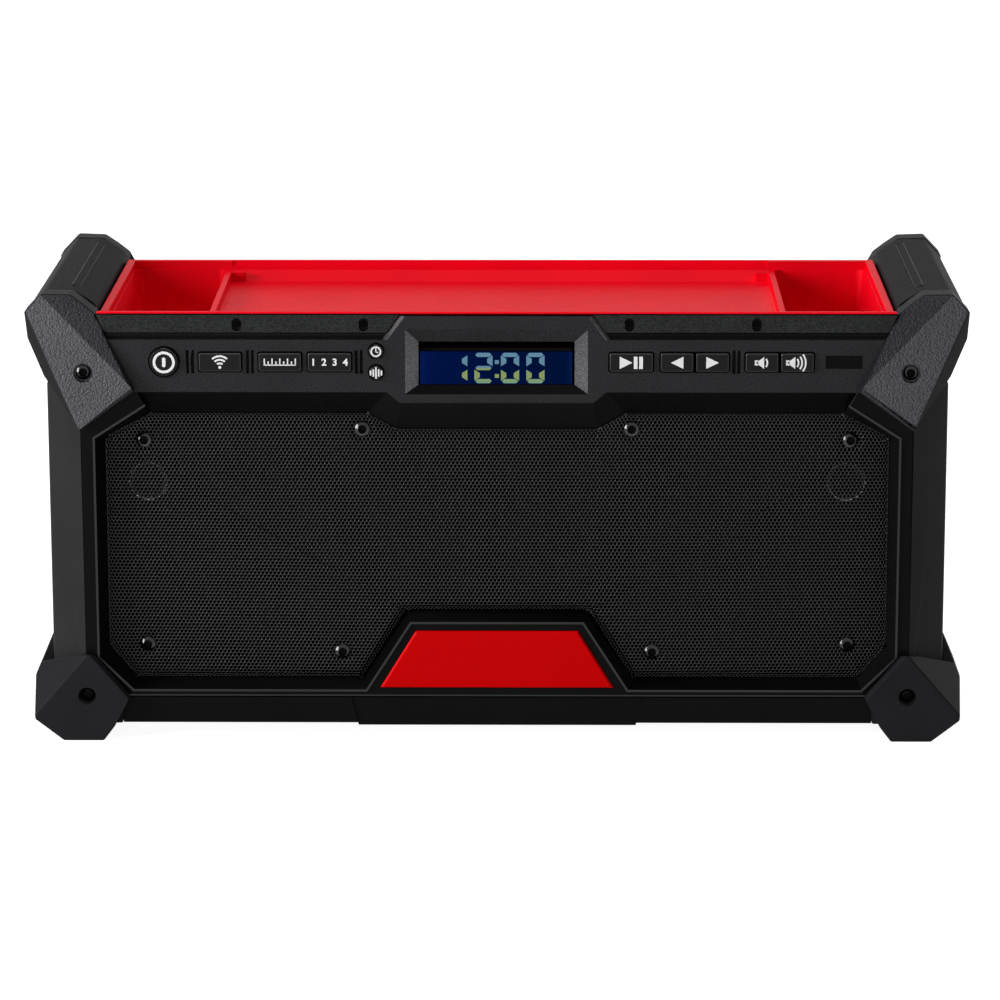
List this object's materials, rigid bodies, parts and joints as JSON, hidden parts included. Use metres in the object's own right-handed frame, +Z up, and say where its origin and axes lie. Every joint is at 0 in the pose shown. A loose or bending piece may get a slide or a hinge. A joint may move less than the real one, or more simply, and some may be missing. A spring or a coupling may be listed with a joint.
{
  "type": "jobsite radio",
  "caption": "Rugged jobsite radio with perforated steel grille, faceted corner guards, side carry handles, storage tray on top, key panel with display, rear battery bay and port door.",
  "frame": {"origin": "on the floor plane under the middle of the case", "axes": "+X to the radio's right as seen from the front, the front faces -Y, +Z up"},
  "size_m": [0.4194, 0.18, 0.2032],
  "materials": {
    "case_plastic": "moulded ABS, fine spark-eroded texture",
    "panel_plastic": "moulded ABS, satin spark-eroded texture",
    "guard_plastic": "impact-modified nylon, leather grain",
    "handle_plastic": "impact-modified nylon, fine texture",
    "grip_rubber": "overmoulded thermoplastic elastomer, matte",
    "tray_plastic": "moulded ABS, fine texture",
    "badge_plastic": "moulded ABS, gloss",
    "trim_plastic": "moulded ABS, satin",
    "grille_steel": "perforated steel sheet, black powder coat",
    "screw_steel": "steel, black oxide",
    "bright_steel": "drawn steel, zinc plated",
    "key_rubber": "moulded silicone, matte, printed symbols",
    "lens_clear": "moulded acrylic, gloss, clear",
    "display_blue": "liquid crystal panel, negative blue",
    "membrane_rubber": "moulded silicone",
    "board_green": "glass-epoxy board, solder mask",
    "basket_steel": "pressed steel, black paint",
    "cone_paper": "pressed paper, rubber surround",
    "tweeter_plastic": "moulded ABS with polymer dome",
    "socket_plastic": "moulded nylon",
    "contact_brass": "tinned brass"
  },
  "bodies": {
    "radio": {"aux_jack": "socket_plastic", "badge_plate": "badge_plastic", "case_shell": "case_plastic", "control_board": "board_green", "display_lens": "lens_clear", "display_panel": "display_blue", "front_bezel": "panel_plastic", "grille": "grille_steel", "grille_screws": "screw_steel", "guard_lower_front_left": "guard_plastic", "guard_lower_front_right": "guard_plastic", "guard_lower_rear_left": "guard_plastic", "guard_lower_rear_right": "guard_plastic", "guard_screws": "screw_steel", "guard_upper_front_left": "guard_plastic", "guard_upper_front_right": "guard_plastic", "guard_upper_rear_left": "guard_plastic", "guard_upper_rear_right": "guard_plastic", "handle_band_left": "grip_rubber", "handle_band_right": "grip_rubber", "handle_left": "handle_plastic", "handle_right": "handle_plastic", "handle_rod_left": "bright_steel", "handle_rod_right": "bright_steel", "keypad_membrane": "membrane_rubber", "main_board": "board_green", "port_door_pin": "bright_steel", "power_inlet": "socket_plastic", "rear_cover": "case_plastic", "rear_screws": "screw_steel", "speaker_baffle": "case_plastic", "storage_tray": "tray_plastic", "terminal_blades": "contact_brass", "terminal_block": "socket_plastic", "trim_screws": "screw_steel", "trim_strip_left": "trim_plastic", "trim_strip_right": "trim_plastic", "tweeter_left": "tweeter_plastic", "tweeter_right": "tweeter_plastic", "usb_socket": "bright_steel", "woofer_basket_left": "basket_steel", "woofer_basket_right": "basket_steel", "woofer_cone_left": "cone_paper", "woofer_cone_right": "cone_paper"},
    "key_power": {"key_power": "key_rubber"},
    "key_wireless": {"key_wireless": "key_rubber"},
    "key_band": {"key_band": "key_rubber"},
    "key_preset": {"key_preset": "key_rubber"},
    "key_clock": {"key_clock": "key_rubber"},
    "key_equalizer": {"key_equalizer": "key_rubber"},
    "key_play_pause": {"key_play_pause": "key_rubber"},
    "key_previous": {"key_previous": "key_rubber"},
    "key_next": {"key_next": "key_rubber"},
    "key_volume_down": {"key_volume_down": "key_rubber"},
    "key_volume_up": {"key_volume_up": "key_rubber"},
    "port_door": {"port_door": "grip_rubber"}
  },
  "joints": [
    {"name": "key_power_press", "type": "slide", "parent": "radio", "child": "key_power", "axis": [0, 1, 0], "range_m": [0, 0.001], "stiffness_N_per_m": 1500},
    {"name": "key_wireless_press", "type": "slide", "parent": "radio", "child": "key_wireless", "axis": [0, 1, 0], "range_m": [0, 0.001], "stiffness_N_per_m": 1500},
    {"name": "key_band_press", "type": "slide", "parent": "radio", "child": "key_band", "axis": [0, 1, 0], "range_m": [0, 0.001], "stiffness_N_per_m": 1500},
    {"name": "key_preset_press", "type": "slide", "parent": "radio", "child": "key_preset", "axis": [0, 1, 0], "range_m": [0, 0.001], "stiffness_N_per_m": 1500},
    {"name": "key_clock_press", "type": "slide", "parent": "radio", "child": "key_clock", "axis": [0, 1, 0], "range_m": [0, 0.001], "stiffness_N_per_m": 1500},
    {"name": "key_equalizer_press", "type": "slide", "parent": "radio", "child": "key_equalizer", "axis": [0, 1, 0], "range_m": [0, 0.001], "stiffness_N_per_m": 1500},
    {"name": "key_play_pause_press", "type": "slide", "parent": "radio", "child": "key_play_pause", "axis": [0, 1, 0], "range_m": [0, 0.001], "stiffness_N_per_m": 1500},
    {"name": "key_previous_press", "type": "slide", "parent": "radio", "child": "key_previous", "axis": [0, 1, 0], "range_m": [0, 0.001], "stiffness_N_per_m": 1500},
    {"name": "key_next_press", "type": "slide", "parent": "radio", "child": "key_next", "axis": [0, 1, 0], "range_m": [0, 0.001], "stiffness_N_per_m": 1500},
    {"name": "key_volume_down_press", "type": "slide", "parent": "radio", "child": "key_volume_down", "axis": [0, 1, 0], "range_m": [0, 0.001], "stiffness_N_per_m": 1500},
    {"name": "key_volume_up_press", "type": "slide", "parent": "radio", "child": "key_volume_up", "axis": [0, 1, 0], "range_m": [0, 0.001], "stiffness_N_per_m": 1500},
    {"name": "port_door_hinge", "type": "hinge", "parent": "radio", "child": "port_door", "pos_m": [0.162, 0.0826, 0.078], "axis": [0, 0, -1], "range_deg": [0, 110]}
  ]
}
